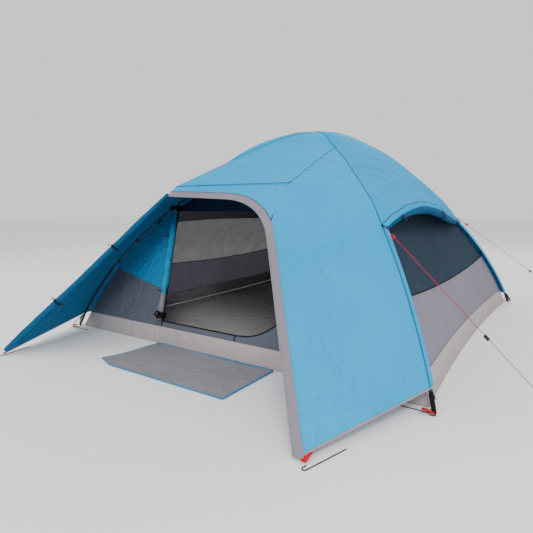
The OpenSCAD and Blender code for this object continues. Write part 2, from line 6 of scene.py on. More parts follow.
import bpy
import numpy as np
from mathutils import Vector
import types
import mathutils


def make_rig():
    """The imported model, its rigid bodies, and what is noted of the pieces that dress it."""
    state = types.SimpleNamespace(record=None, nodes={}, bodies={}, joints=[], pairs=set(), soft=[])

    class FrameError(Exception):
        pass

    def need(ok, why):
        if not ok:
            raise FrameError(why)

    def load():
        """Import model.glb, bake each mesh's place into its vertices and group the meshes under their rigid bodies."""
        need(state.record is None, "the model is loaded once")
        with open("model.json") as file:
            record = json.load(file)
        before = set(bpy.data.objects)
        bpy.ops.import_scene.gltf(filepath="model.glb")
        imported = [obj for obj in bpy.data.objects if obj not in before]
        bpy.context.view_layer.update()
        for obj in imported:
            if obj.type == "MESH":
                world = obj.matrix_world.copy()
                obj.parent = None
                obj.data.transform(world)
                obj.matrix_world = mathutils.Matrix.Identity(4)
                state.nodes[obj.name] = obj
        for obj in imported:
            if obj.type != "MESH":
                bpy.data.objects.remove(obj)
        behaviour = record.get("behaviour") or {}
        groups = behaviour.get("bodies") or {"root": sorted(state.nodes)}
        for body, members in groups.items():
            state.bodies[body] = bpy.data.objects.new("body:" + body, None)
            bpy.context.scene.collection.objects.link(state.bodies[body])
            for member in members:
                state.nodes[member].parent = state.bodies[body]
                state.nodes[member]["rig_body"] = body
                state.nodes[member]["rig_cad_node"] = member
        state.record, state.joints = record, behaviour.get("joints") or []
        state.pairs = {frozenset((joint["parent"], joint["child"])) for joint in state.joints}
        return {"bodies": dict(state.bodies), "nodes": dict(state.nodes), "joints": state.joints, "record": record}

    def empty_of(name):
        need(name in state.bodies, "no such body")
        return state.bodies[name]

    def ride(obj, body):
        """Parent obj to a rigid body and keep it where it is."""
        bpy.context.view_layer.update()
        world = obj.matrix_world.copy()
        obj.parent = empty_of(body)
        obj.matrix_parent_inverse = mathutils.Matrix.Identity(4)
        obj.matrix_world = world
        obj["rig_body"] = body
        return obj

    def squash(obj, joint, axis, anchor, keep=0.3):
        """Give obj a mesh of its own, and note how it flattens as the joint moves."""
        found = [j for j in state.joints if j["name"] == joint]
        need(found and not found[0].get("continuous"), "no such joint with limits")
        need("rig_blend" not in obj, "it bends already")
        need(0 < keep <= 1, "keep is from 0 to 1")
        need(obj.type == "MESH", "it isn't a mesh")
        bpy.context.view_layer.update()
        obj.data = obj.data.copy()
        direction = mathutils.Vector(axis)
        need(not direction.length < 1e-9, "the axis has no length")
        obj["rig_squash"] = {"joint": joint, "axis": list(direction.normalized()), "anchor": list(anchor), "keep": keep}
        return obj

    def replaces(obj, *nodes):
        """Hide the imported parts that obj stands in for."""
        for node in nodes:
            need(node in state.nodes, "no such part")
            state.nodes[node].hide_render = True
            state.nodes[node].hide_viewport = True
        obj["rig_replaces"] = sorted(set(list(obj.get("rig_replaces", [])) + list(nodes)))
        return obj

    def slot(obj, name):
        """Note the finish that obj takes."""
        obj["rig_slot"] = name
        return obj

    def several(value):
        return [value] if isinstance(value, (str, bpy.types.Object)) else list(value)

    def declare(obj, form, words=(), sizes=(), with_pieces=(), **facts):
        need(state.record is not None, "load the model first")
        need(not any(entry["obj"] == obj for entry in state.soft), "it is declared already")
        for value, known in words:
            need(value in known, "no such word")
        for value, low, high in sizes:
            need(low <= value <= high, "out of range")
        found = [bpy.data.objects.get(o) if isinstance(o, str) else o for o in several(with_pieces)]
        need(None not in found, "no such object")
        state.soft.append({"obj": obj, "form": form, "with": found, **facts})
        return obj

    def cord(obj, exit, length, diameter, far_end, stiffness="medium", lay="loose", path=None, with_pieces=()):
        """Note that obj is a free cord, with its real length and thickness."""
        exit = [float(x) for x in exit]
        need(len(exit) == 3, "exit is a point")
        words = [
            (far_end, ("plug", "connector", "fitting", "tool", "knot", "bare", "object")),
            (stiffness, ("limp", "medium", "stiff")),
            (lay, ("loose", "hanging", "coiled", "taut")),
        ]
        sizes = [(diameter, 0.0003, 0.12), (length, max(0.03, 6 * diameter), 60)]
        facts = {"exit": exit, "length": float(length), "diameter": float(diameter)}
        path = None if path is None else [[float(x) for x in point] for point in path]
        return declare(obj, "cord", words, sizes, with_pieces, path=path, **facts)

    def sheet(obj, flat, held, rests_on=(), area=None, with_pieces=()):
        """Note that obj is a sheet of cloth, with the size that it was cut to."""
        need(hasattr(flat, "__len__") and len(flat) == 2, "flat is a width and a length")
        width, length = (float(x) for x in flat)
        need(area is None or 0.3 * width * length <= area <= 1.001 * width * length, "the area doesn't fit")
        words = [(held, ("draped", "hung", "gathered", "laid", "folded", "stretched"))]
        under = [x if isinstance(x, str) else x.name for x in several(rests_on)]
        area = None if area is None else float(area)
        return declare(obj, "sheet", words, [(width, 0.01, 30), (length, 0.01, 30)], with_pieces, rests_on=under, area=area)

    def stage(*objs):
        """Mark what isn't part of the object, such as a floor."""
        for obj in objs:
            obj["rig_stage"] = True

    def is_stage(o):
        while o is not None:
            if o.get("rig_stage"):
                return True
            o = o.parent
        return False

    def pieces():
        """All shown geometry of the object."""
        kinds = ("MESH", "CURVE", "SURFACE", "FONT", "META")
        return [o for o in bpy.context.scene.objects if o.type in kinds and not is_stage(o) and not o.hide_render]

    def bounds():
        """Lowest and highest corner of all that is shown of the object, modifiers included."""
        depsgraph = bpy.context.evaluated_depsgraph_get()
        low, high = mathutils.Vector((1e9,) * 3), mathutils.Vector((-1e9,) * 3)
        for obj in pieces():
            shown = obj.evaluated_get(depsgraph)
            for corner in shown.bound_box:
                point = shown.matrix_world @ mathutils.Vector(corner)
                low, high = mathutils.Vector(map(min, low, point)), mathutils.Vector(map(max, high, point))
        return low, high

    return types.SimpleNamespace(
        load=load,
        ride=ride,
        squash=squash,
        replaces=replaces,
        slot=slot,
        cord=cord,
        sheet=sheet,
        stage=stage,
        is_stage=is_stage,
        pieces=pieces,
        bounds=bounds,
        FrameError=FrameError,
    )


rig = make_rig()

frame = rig.load()
size_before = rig.bounds()

# --- camera
camera_data = bpy.data.cameras.new("camera")
camera_data.lens = 29.09
camera_data.sensor_width = 36
camera_data.shift_x = -0.0818
camera = bpy.data.objects.new("camera", camera_data)
camera.location = (1.6834, -2.9012, 0.8382)
camera.rotation_euler = (math.radians(90 - 7.981), 0, math.radians(31.1))
bpy.context.scene.collection.objects.link(camera)
bpy.context.scene.camera = camera

# --- the frame's geometry, in metres: x outward and y up in the plane of a diagonal
PLAN_W, PLAN_L = 2.5, 2.4
PEAK = 1.395
HINGE = np.array([0.062, 1.335])
ARM_LENGTH, ARM_SLOPE, ARM_BOW = 1.09, math.radians(26.6), 0.045
FOOT, LEG_BOW = np.array([1.73, 0.01]), 0.066
GAP = 0.032
BAND_FRONT, BAND_SIDE = 0.095, 0.108
SIDE_BOW = 0.045
SILL = 0.127
WINDOW_R, WINDOW_Z = 1.19, 0.742
BROW = np.array([0.417, -1.012, 0.958])
ARCH_Y, ARCH_TILT, TRIM_W = -1.795, math.radians(51.2), 0.042
HEM, FLY_OFF = 0.087, 0.016
KEEP_FLY, KEEP_INNER = 0.18, 0.105  # share of the height left when the hub is down
# the porch arch in its own plane: straight legs that lean in, then a bend between two angles
ARCH_LEG_X, ARCH_LEAN = 0.998, 0.5808
ARCH_BEND_X, ARCH_BEND_UP, ARCH_BEND_R = 0.0267, 0.6492, 0.515
BEND_FROM, BEND_TO = 30.16, 87.0
TRIM_LOW = 0.014
# the inner tent's walls and the right edge of its doorway, a power curve up from the sill
FRONT_TOP, FRONT_FALL = 0.4, 0.1
WALL_TOP_MID, WALL_TOP_RISE = 0.37, 0.045
SEAM_GAP = 0.003
WALL_SPAN = 0.996  # share of a wall's width between its corner seams
DOOR_X, DOOR_SPREAD, DOOR_HEIGHT, DOOR_POWER = 0.13, 0.61, 0.717, 0.41
ROLL_STEPS = 14  # points on each turn of a roll

HALF = math.hypot(PLAN_W / 2, PLAN_L / 2)
UX, UY = PLAN_W / 2 / HALF, PLAN_L / 2 / HALF
SIGNS = {1: (1, -1), 2: (1, 1), 3: (-1, 1), 4: (-1, -1)}
ELBOW = HINGE + ARM_LENGTH * np.array([math.cos(ARM_SLOPE), -math.sin(ARM_SLOPE)])


def arc(a, b, bow):
    """Centre and radius of an arc from a to b that rises bow above its chord."""
    chord = np.linalg.norm(b - a)
    radius = chord * chord / (8 * bow) + bow / 2
    d = (b - a) / chord
    return (a + b) / 2 + (bow - radius) * np.array([-d[1], d[0]]), radius


ARM_C, ARM_R = arc(HINGE, ELBOW, ARM_BOW)
LEG_C, LEG_R = arc(ELBOW, FOOT, LEG_BOW)


def arm_z(r):
    return ARM_C[1] + math.sqrt(ARM_R ** 2 - (r - ARM_C[0]) ** 2)


def leg_r(z):
    return LEG_C[0] + math.sqrt(LEG_R ** 2 - (z - LEG_C[1]) ** 2)


def inner_r(z):
    return leg_r(z) - GAP


def mix(a, b, t):
    return a + (b - a) * t


def diag(k, r, z):
    return np.array([SIGNS[k][0] * UX * r, SIGNS[k][1] * UY * r, z])


def curve(points, t):
    """A smooth curve through points, at place t from 0 to len(points) - 1."""
    n = len(points)
    i = int(min(max(t, 0), n - 1.0001))
    f = t - i
    p1, p2 = points[i], points[i + 1]
    p0 = points[i - 1] if i > 0 else 2 * p1 - p2
    p3 = points[i + 2] if i + 2 < n else 2 * p2 - p1
    square = (2 * p0 - 5 * p1 + 4 * p2 - p3) * f * f
    cube = (3 * p1 - p0 - 3 * p2 + p3) * f ** 3
    return 0.5 * (2 * p1 + (p2 - p0) * f + square + cube)


# --- materials
def material(name, colour, rough=0.75, back=None, shade=0.14, fold=0.25, fold_scale=5.0, weave=0.1,
             through=0.0, holes=0.0, metal=0.0, spread=2.4, ground_darkening=0.0, stretch=1.0, gloss=0.12):
    """A procedural finish: colour that varies, folds and weave as bump, uneven roughness."""
    m = bpy.data.materials.new(name)
    m.use_nodes = True
    tree = m.node_tree
    tree.nodes.clear()

    def add(kind, **values):
        node = tree.nodes.new(kind)
        for key, value in values.items():
            setattr(node, key, value)
        return node

    def link(a, b):
        tree.links.new(a, b)

    out = add("ShaderNodeOutputMaterial")
    coords = add("ShaderNodeTexCoord").outputs["Object"]
    cloud = add("ShaderNodeTexNoise")
    cloud.inputs["Scale"].default_value = spread
    cloud.inputs["Detail"].default_value = 5
    link(coords, cloud.inputs["Vector"])

    def two_tones(c):
        blend = add("ShaderNodeMix", data_type="RGBA")
        blend.inputs["A"].default_value = [x * (1 - shade) for x in c] + [1]
        blend.inputs["B"].default_value = [min(x * (1 + shade), 1) for x in c] + [1]
        link(cloud.outputs["Fac"], blend.inputs["Factor"])
        return blend.outputs["Result"]

    tone = two_tones(colour)
    if back:
        sides = add("ShaderNodeMix", data_type="RGBA")
        link(add("ShaderNodeNewGeometry").outputs["Backfacing"], sides.inputs["Factor"])
        link(tone, sides.inputs["A"])
        link(two_tones(back), sides.inputs["B"])
        tone = sides.outputs["Result"]
    # colour mixed towards a dark brown, up to this share at the ground and fading out by 0.16 m up: darker and browner
    # towards the bottom
    if ground_darkening:
        parts = add("ShaderNodeSeparateXYZ")
        link(coords, parts.inputs[0])
        low = add("ShaderNodeMapRange")
        low.inputs["From Min"].default_value = 0.16
        low.inputs["From Max"].default_value = 0.0
        low.inputs["To Max"].default_value = ground_darkening
        link(parts.outputs["Z"], low.inputs["Value"])
        ground_tone = add("ShaderNodeMix", data_type="RGBA")
        ground_tone.inputs["B"].default_value = (0.16, 0.12, 0.09, 1)
        link(low.outputs["Result"], ground_tone.inputs["Factor"])
        link(tone, ground_tone.inputs["A"])
        tone = ground_tone.outputs["Result"]

    folds = add("ShaderNodeTexNoise")
    folds.inputs["Scale"].default_value = fold_scale
    folds.inputs["Detail"].default_value = 3
    folds.inputs["Distortion"].default_value = 1.4
    drape = add("ShaderNodeMapping")
    drape.inputs["Scale"].default_value = (1, 1, stretch)
    link(coords, drape.inputs["Vector"])
    link(drape.outputs["Vector"], folds.inputs["Vector"])
    bump = add("ShaderNodeBump")
    bump.inputs["Strength"].default_value = fold
    bump.inputs["Distance"].default_value = 0.035
    link(folds.outputs["Fac"], bump.inputs["Height"])
    threads = add("ShaderNodeTexWave", bands_direction="DIAGONAL")
    threads.inputs["Scale"].default_value = 160
    threads.inputs["Distortion"].default_value = 2
    link(coords, threads.inputs["Vector"])
    grain = add("ShaderNodeBump")
    grain.inputs["Strength"].default_value = weave
    grain.inputs["Distance"].default_value = 0.0008
    link(threads.outputs["Fac"], grain.inputs["Height"])
    link(bump.outputs["Normal"], grain.inputs["Normal"])

    uneven = add("ShaderNodeMapRange")
    uneven.inputs["To Min"].default_value = max(rough - 0.1, 0.05)
    uneven.inputs["To Max"].default_value = min(rough + 0.1, 1)
    link(folds.outputs["Fac"], uneven.inputs["Value"])
    body = add("ShaderNodeBsdfPrincipled")
    body.inputs["Metallic"].default_value = metal
    body.inputs["Specular IOR Level"].default_value = gloss
    link(tone, body.inputs["Base Color"])
    link(uneven.outputs["Result"], body.inputs["Roughness"])
    link(grain.outputs["Normal"], body.inputs["Normal"])
    surface = body.outputs["BSDF"]
    if through:
        glow = add("ShaderNodeBsdfTranslucent")
        link(tone, glow.inputs["Color"])
        link(grain.outputs["Normal"], glow.inputs["Normal"])
        both = add("ShaderNodeMixShader")
        both.inputs["Fac"].default_value = through
        link(surface, both.inputs[1])
        link(glow.outputs["BSDF"], both.inputs[2])
        surface = both.outputs["Shader"]
    if holes:
        open_share = add("ShaderNodeMapRange")
        open_share.inputs["To Min"].default_value = max(holes - 0.04, 0)
        open_share.inputs["To Max"].default_value = holes + 0.04
        link(folds.outputs["Fac"], open_share.inputs["Value"])
        net = add("ShaderNodeMixShader")
        link(open_share.outputs["Result"], net.inputs["Fac"])
        link(surface, net.inputs[1])
        link(add("ShaderNodeBsdfTransparent").outputs["BSDF"], net.inputs[2])
        surface = net.outputs["Shader"]
    link(surface, out.inputs["Surface"])
    return m


FLY_BACK = (0.008, 0.110, 0.250)
FLY = material("fly_cloth", (0.004, 0.450, 0.880), 0.7, back=FLY_BACK, through=0.2,
               fold=1.0, fold_scale=6, stretch=0.3)
# painted shade: a copy of the fly cloth made a little darker, used on the roof panels, the lips over the windows and
# the rolled windows
FLY_PAINTED_SHADE = material("fly_cloth_painted_shade", (0.004, 0.410, 0.820), 0.7, back=FLY_BACK, through=0.2,
                    fold=1.0, fold_scale=4)
DOOR = material("door_cloth", (0.015, 0.240, 0.480), 0.7, fold=0.6, fold_scale=14)
DOOR_GREY = material("door_cloth_grey", (0.200, 0.195, 0.225), 0.8, fold=0.5, fold_scale=14)
WALL = material("wall_cloth", (0.270, 0.250, 0.310), 0.8, fold=0.7, fold_scale=14, stretch=0.15,
                through=0.1, ground_darkening=0.15)
WALL_FRONT = material("wall_front_cloth", (0.105, 0.118, 0.155), 0.85, fold=0.5, fold_scale=9,
                      stretch=0.3, ground_darkening=0.1)
# painted light: the inside faces of the floor and its bands take a lighter colour than the outside, to brighten the
# shaded interior
TUB = material("floor_cloth", (0.500, 0.455, 0.465), 0.6, fold=0.5, fold_scale=8, ground_darkening=0.3,
               back=(0.60, 0.56, 0.57))
# painted light: the inside face of the dark netting is light grey, standing in for the daylight seen through the mesh
NET = material("netting", (0.026, 0.046, 0.072), 0.9, back=(0.20, 0.19, 0.215), holes=0.1,
               fold=0.25, fold_scale=9, stretch=0.4)
NET_ROOF = material("netting_roof", (0.020, 0.045, 0.080), 0.9, holes=0.04, fold=0.3)
TRIM = material("trim_cloth", (0.250, 0.225, 0.270), 0.7, fold=0.5, fold_scale=14)
MAT = material("mat_cloth", (0.240, 0.240, 0.260), 0.85, fold=0.4, fold_scale=8)
BINDING = material("binding", (0.010, 0.220, 0.460), 0.7)
SEAM = material("seam_tape", (0.004, 0.170, 0.380), 0.7, fold=0.6, fold_scale=60)
PIPING = material("piping", (0.330, 0.310, 0.340), 0.7)
SEAM_GREY = material("seam_grey", (0.130, 0.125, 0.145), 0.8)
WEBBING = material("webbing", (0.012, 0.012, 0.014), 0.85, weave=0.6, fold=0.4, fold_scale=40)
RED = material("red_webbing", (0.560, 0.008, 0.016), 0.7, fold=0.3, fold_scale=40)
RED_PLASTIC = material("red_plastic", (0.560, 0.008, 0.016), 0.4, fold=0.1, fold_scale=40)
LINE = material("guy_line", (0.600, 0.020, 0.060), 0.8, weave=0.8, fold=0.5, fold_scale=90)
PLASTIC = material("black_plastic", (0.015, 0.015, 0.017), 0.5, gloss=0.5, fold=0.15, fold_scale=80)
ROD = material("fibre_rod", (0.040, 0.040, 0.045), 0.4, gloss=0.5, fold=0.2, fold_scale=70)
STEEL = material("pin_steel", (0.550, 0.550, 0.570), 0.3, metal=1, fold=0.1, fold_scale=60)
PEG = material("peg_steel", (0.020, 0.020, 0.022), 0.45, metal=0.4, fold=0.2, fold_scale=60)


# --- mesh helpers
def mesh(name, verts, faces, mats, index=None, smooth=True):
    data = bpy.data.meshes.new(name)
    data.from_pydata([tuple(map(float, v)) for v in verts], [], faces)
    for m in mats if isinstance(mats, list) else [mats]:
        data.materials.append(m)
    if index is not None:
        data.polygons.foreach_set("material_index", index)
    data.polygons.foreach_set("use_smooth", [smooth] * len(data.polygons))
    data.update()
    obj = bpy.data.objects.new(name, data)
    bpy.context.scene.collection.objects.link(obj)
    return obj


def field(seed, count=14, low=2.0, high=9.0):
    """A smooth random height over a patch, from crossing waves."""
    r = random.Random(seed)
    waves = [(r.uniform(low, high), r.uniform(low, high), r.uniform(0, 6.28), r.uniform(0.4, 1))
             for _ in range(count)]

    def height(u, v):
        return sum(a * math.sin(p * u + q * v + c) / (p + q) for p, q, c, a in waves) * 2.0

    return height


def patch(point, rows, cols, amp=0.0, seed=1, low=2.0, high=9.0, edge=0.5):
    """Vertices and faces of a sheet point(u, v), ruffled along its normal but not at its edges."""
    grid = np.array([[point(u, v) for v in np.linspace(0, 1, cols)] for u in np.linspace(0, 1, rows)])
    if amp:
        du, dv = np.gradient(grid, axis=0), np.gradient(grid, axis=1)
        normal = np.cross(du, dv)
        normal /= np.maximum(np.linalg.norm(normal, axis=2, keepdims=True), 1e-9)
        height = field(seed, low=low, high=high)

        def inward(t):
            return max(math.sin(math.pi * t), 0)

        lift = np.array([[height(u, v) * (inward(u) * inward(v)) ** edge
                          for v in np.linspace(0, 1, cols)] for u in np.linspace(0, 1, rows)])
        grid = grid + normal * (amp * lift)[..., None]
    faces = [(i * cols + j, (i + 1) * cols + j, (i + 1) * cols + j + 1, i * cols + j + 1)
             for i in range(rows - 1) for j in range(cols - 1)]
    return grid.reshape(-1, 3), faces


def join(parts):
    """One list of vertices, faces and material indices from (vertices, faces, index) parts."""
    verts, faces, index = [], [], []
    for v, f, m in parts:
        base = len(verts)
        verts.extend(v)
        faces.extend([tuple(base + i for i in face) for face in f])
        index.extend([m] * len(f))
    return verts, faces, index


def frame_at(path, i):
    a, b = path[max(i - 1, 0)], path[min(i + 1, len(path) - 1)]
    d = (b - a) / max(np.linalg.norm(b - a), 1e-9)
    side = np.cross(d, (1, 0, 0) if abs(d[2]) > 0.9 else (0, 0, 1))
    side /= np.linalg.norm(side)
    return d, side, np.cross(side, d)


def tube(path, radius, sides=8, squeeze=1.0):
    path = [np.array(p, float) for p in path]
    verts = []
    for i, p in enumerate(path):
        _, s, u = frame_at(path, i)
        r = radius[i] if hasattr(radius, "__len__") else radius
        verts += [p + r * (math.cos(a) * s + squeeze * math.sin(a) * u)
                  for a in (2 * math.pi * k / sides for k in range(sides))]
    n = len(path)
    faces = []
    for i in range(n - 1):
        for k in range(sides):
            a, b, after = i * sides, (i + 1) * sides, (k + 1) % sides
            faces.append((a + k, b + k, b + after, a + after))
    faces += [tuple(range(sides)), tuple((n - 1) * sides + k for k in range(sides - 1, -1, -1))]
    return verts, faces


def flatten(obj, keep, body="tent"):
    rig.ride(obj, body)
    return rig.squash(obj, "hub_drop", axis=(0, 0, 1), anchor=(0, 0, 0), keep=keep)


def area_of(obj):
    return sum(p.area for p in obj.data.polygons)


def cloth(obj, width, length, held, rests_on, area=None):
    """Declares a sheet. A taut panel was cut to its own surface; any other cut gives its flat area."""
    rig.sheet(obj, flat=(width, length), held=held, rests_on=rests_on, area=area or area_of(obj))


def copy_cad(node, name, mat):
    """The CAD piece's own shape as a piece that can flatten with the tent."""
    obj = frame["nodes"][node].copy()
    obj.data = frame["nodes"][node].data.copy()
    obj.name = name
    obj.hide_render = obj.hide_viewport = False
    bpy.context.scene.collection.objects.link(obj)
    obj.data.materials.clear()
    obj.data.materials.append(mat)
    return obj


# --- guy lines
cords = {}
GUY_TOP = diag(2, WINDOW_R + 0.026, WINDOW_Z - 0.006)
GUY_LOW = np.array([1.8, 1.22, 0.005])
for name, side in (("near", -1), ("far", 1)):
    ends = [np.array([p[0], side * p[1], p[2]]) for p in (GUY_TOP, GUY_LOW)]
    route = [mix(ends[0], ends[1], t) for t in np.linspace(0, 1, 41)]
    verts, faces = tube(route, 0.0015, 8)
    cords[name] = (mesh("guy_line_" + name, verts, faces, LINE), route)

# --- fly sheet
OVER = {1: [(0, PEAK), (0.2, 1.333), (0.41, 1.228), (0.64, 1.116), (0.9, 0.963), (1.06, 0.862)]}
for k in (2, 3, 4):
    OVER[k] = [(0, PEAK), (0.2, 1.356), (0.41, 1.276), (0.64, 1.164), (0.9, 0.998), (1.06, 0.88)]
EDGE = {}
for k in SIGNS:
    EDGE[k] = [diag(k, r, z) for r, z in OVER[k]] + [diag(k, WINDOW_R, WINDOW_Z)]
    EDGE[k] += [diag(k, leg_r(z) + FLY_OFF, z) for z in (0.6, 0.45, 0.3, 0.18, HEM)]
ROOF_AT = [0, 0.54, 1.08, 2.04, 3, 3.96, 4.98, 6]
ROOF_OUT = [0, 4, 10, 20, 26, 26, 34]
ROOF_UP = [0, 14, 34, 66, 84, 80, 78]


def roof(a, b, out, eave, fullness):
    def point(u, v):
        w, s = 6 * u, 2 * v - 1
        p, q = curve(EDGE[a], w), curve(EDGE[b], w)
        o = np.interp(w, ROOF_AT, [fullness * x for x in ROOF_OUT] + [eave(s)[0]])
        z = np.interp(w, ROOF_AT, [fullness * x for x in ROOF_UP] + [eave(s)[1]])
        scallop = 0.006 * math.sin(9 * math.pi * v) ** 2 * max(w - 5, 0)
        swell = (1 - s * s) * (o * np.array(out) + np.array([0, 0, z])) / 1000
        return mix(p, q, v) + swell + scallop * np.array([0, 0, 1])
    return point


def guyed(s):
    return 50, 98 - 105 * s


def eave_left(s):
    return 50, 60


def arch_point(x, up):
    return np.array([x, ARCH_Y + up * math.cos(ARCH_TILT), up * math.sin(ARCH_TILT)])


def arch_top(x):
    if x < 0.051:
        return 1.164 + (0.051 - x) * 0.0546
    return ARCH_BEND_UP + math.sqrt(ARCH_BEND_R ** 2 - (x - ARCH_BEND_X) ** 2)


def arch_leg(up, clear=0.0):
    return arch_point(ARCH_LEG_X - ARCH_LEAN * up + clear, up)


BROW_LEFT = BROW * (-1, 1, 1)
FOOT_LEFT = np.array([-1.015, -1.75, 0.022])
ARCH_LEFT = -0.425


def porch_edge(k, brow, w):
    if w <= 2:
        return curve(EDGE[k], w)
    return mix(EDGE[k][2], brow, (w - 2) / 3)


def front_top(u, v):
    w, s = 6 * u, 2 * v - 1
    row = min(w, 5)
    p = mix(porch_edge(4, BROW_LEFT, row), porch_edge(1, BROW, row), v)
    p = p + (1 - s * s) * np.array([0, -0.002, np.interp(row, range(6), [0, 10, 22, 30, 18, 0]) / 1000])
    if w > 5:
        x = mix(ARCH_LEFT, 0.412, v)
        p = mix(p, arch_point(x, arch_top(x) + 0.004), w - 5)
    return p


OUTER_AT = [2, 3, 4, 5.3, 5.9, 7, 8, 9, 10, 11]
ARCH_RIGHT = [BROW] + [arch_leg(up, -0.006) for up in (0.86, 0.7, 0.52, 0.34, 0.17, 0.026)]
ARCH_RIGHT.insert(1, arch_point(0.42, 0.992))


def front_right(u, v):
    w = 9 * u
    outer = curve(EDGE[1], float(np.interp(w, range(10), OUTER_AT)))
    inner = mix(EDGE[1][2], BROW, w / 2) if w < 2 else curve(ARCH_RIGHT, w - 2)
    p = mix(inner, outer, v)
    belly = math.sin(math.pi * v) * math.sin(math.pi * min(max((w - 1) / 8, 0), 1))
    return p + np.array([0.006, -0.012, 0]) * belly


def front_left(u, v):
    w = 9 * u
    outer = curve(EDGE[4], float(np.interp(w, range(10), OUTER_AT)))
    along = float(np.interp(w, [2, 3, 4, 5, 6, 7, 8, 9], [0, 0.12, 0.3, 0.45, 0.6, 0.75, 0.88, 1]))
    inner = mix(EDGE[4][2], BROW_LEFT, w / 2) if w < 2 else mix(BROW_LEFT, FOOT_LEFT, along)
    return mix(outer, inner, v)


def back(u, v):
    s = 2 * v - 1
    p, q = curve(EDGE[2], 6 + 5 * u), curve(EDGE[3], 6 + 5 * u)
    swell = np.interp(5 * u, range(6), [62, 40, 24, 14, 8, 4]) / 1000
    lift = np.interp(5 * u, range(6), [104, 44, 8, 0, 0, 0]) / 1000
    return mix(p, q, v) + (1 - s * s) * np.array([0, swell, lift])


fly_parts = [
    (patch(roof(1, 2, (1, 0, 0), guyed, 1), 64, 72, 0.014, 3, 3, 15), 1),
    (patch(roof(2, 3, (0, 1, 0), lambda s: (62, 104), 1.2), 64, 72, 0.014, 4, 3, 15), 1),
    (patch(roof(3, 4, (-1, 0, 0), eave_left, 1.5), 64, 72, 0.014, 5, 3, 15), 1),
    (patch(front_top, 60, 56, 0.011, 6, 3, 14), 0),
    (patch(front_right, 90, 40, 0.018, 11, 3, 20), 0),
    (patch(front_left, 70, 36, 0.015, 8, 3, 16), 0),
    (patch(back, 30, 60, 0.010, 9), 0),
]


def facing(k):
    """The blue strip that runs down a corner and turns round onto the side."""
    sx, sy = SIGNS[k]

    def point(u, v):
        across = 1 - v if sx * sy > 0 else v
        wide = (0.052 if k < 3 else 0.1) + 0.02 * math.exp(-9 * u)
        turned = np.array([0.003 * sx * math.sin(math.pi * across), -sy * wide * across, 0])
        return curve(EDGE[k], 6 + 5 * u) + turned
    return point


fly_parts += [(patch(facing(k), 40, 7, 0.002, 12 + k, 4, 14), 0) for k in SIGNS]


def window_hang(eave, sign, s):
    """The centre of a rolled window at a place along its eave."""
    o, z = [(1 - s * s) * x / 1000 for x in eave(s)]
    height = WINDOW_Z + z - 0.046 + 0.022 * s * s
    return np.array([sign * (UX * WINDOW_R + 0.01 + o), s * (UY * WINDOW_R - 0.024), height])


def lip(side, eave, sign):
    """The cloth that runs from an eave down over its rolled window."""
    def point(u, v):
        s = (2 * v - 1) * sign
        low = window_hang(eave, sign, s) + (sign * 0.012, 0, 0.014)
        return mix(side(1, v), low, u) + np.array([sign * 0.010 * math.sin(math.pi * u), 0, 0])
    return point


RIGHT_ROOF = roof(1, 2, (1, 0, 0), guyed, 1)
LEFT_ROOF = roof(3, 4, (-1, 0, 0), eave_left, 1.5)
fly_parts += [(patch(lip(RIGHT_ROOF, guyed, 1), 8, 72, 0.003, 91, 4, 30), 1)]
fly_parts += [(patch(lip(LEFT_ROOF, eave_left, -1), 8, 72, 0.003, 92, 4, 30), 1)]
verts, faces, index = join([(v, f, m) for (v, f), m in fly_parts])
fly = mesh("fly_sheet", verts, faces, [FLY, FLY_PAINTED_SHADE], index)
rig.replaces(fly, "fly_roof_right", "fly_roof_back", "fly_roof_left", "fly_front_top", "fly_front_right",
            "fly_front_left", "fly_back")
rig.slot(fly, "fly")


def run(point, count=40, start=0.0, end=1.0):
    return [point(t) for t in np.linspace(start, end, count)]


seams = []
for k in SIGNS:
    seams.append(tube(run(lambda t, k=k: curve(EDGE[k], 11 * t) + (0, 0, 0.001), 90), 0.0035, 6, 0.6) + (0,))
for k, brow in ((1, BROW), (4, BROW_LEFT)):
    seams.append(tube(run(lambda t: mix(EDGE[k][2], brow, t), 24), 0.003, 6, 0.6) + (0,))
for off in (-0.006, 0.006):
    seams.append(tube(run(lambda t: front_top(5 / 6, t) + (0, off, 0.001), 24), 0.002, 6) + (0,))
seams.append(tube(run(lambda t: RIGHT_ROOF(1, t), 60), 0.003, 6) + (0,))
seams.append(tube(run(lambda t: LEFT_ROOF(1, t), 60), 0.003, 6) + (0,))
seams.append(tube(run(lambda t: back(1, t), 40), 0.0035, 6) + (1,))
seams.append(tube(run(lambda t: front_right(1, t), 30), 0.005, 6) + (1,))
seams.append(tube(run(lambda t: front_left(1, t), 30), 0.004, 6) + (1,))
seams.append(tube(run(lambda t: mix(BROW_LEFT, FOOT_LEFT, t), 30), 0.003, 6) + (1,))
verts, faces, index = join(seams)
fly_seams = mesh("fly_seams", verts, faces, [SEAM, PIPING], index)

# --- arch trim: a stitched band along the porch's mouth
foot_x = ARCH_LEG_X - ARCH_LEAN * TRIM_LOW
outer_line = [(foot_x, TRIM_LOW)]
inner_line = [(foot_x - TRIM_W / math.cos(math.radians(BEND_FROM)), TRIM_LOW)]
for t in np.linspace(0, 1, 25):
    a = math.radians(mix(BEND_FROM, BEND_TO, t))
    for line, radius in ((outer_line, ARCH_BEND_R), (inner_line, ARCH_BEND_R - TRIM_W)):
        line.append((ARCH_BEND_X + radius * math.cos(a), ARCH_BEND_UP + radius * math.sin(a)))
outer_line.append((ARCH_LEFT, arch_top(ARCH_LEFT)))
inner_line.append((ARCH_LEFT, arch_top(ARCH_LEFT) - TRIM_W))


def along(line, t):
    """A point at share t of a polyline's own length."""
    pts = np.array(line)
    steps = np.concatenate([[0], np.cumsum(np.linalg.norm(np.diff(pts, axis=0), axis=1))])
    return np.array([np.interp(t * steps[-1], steps, pts[:, c]) for c in (0, 1)])


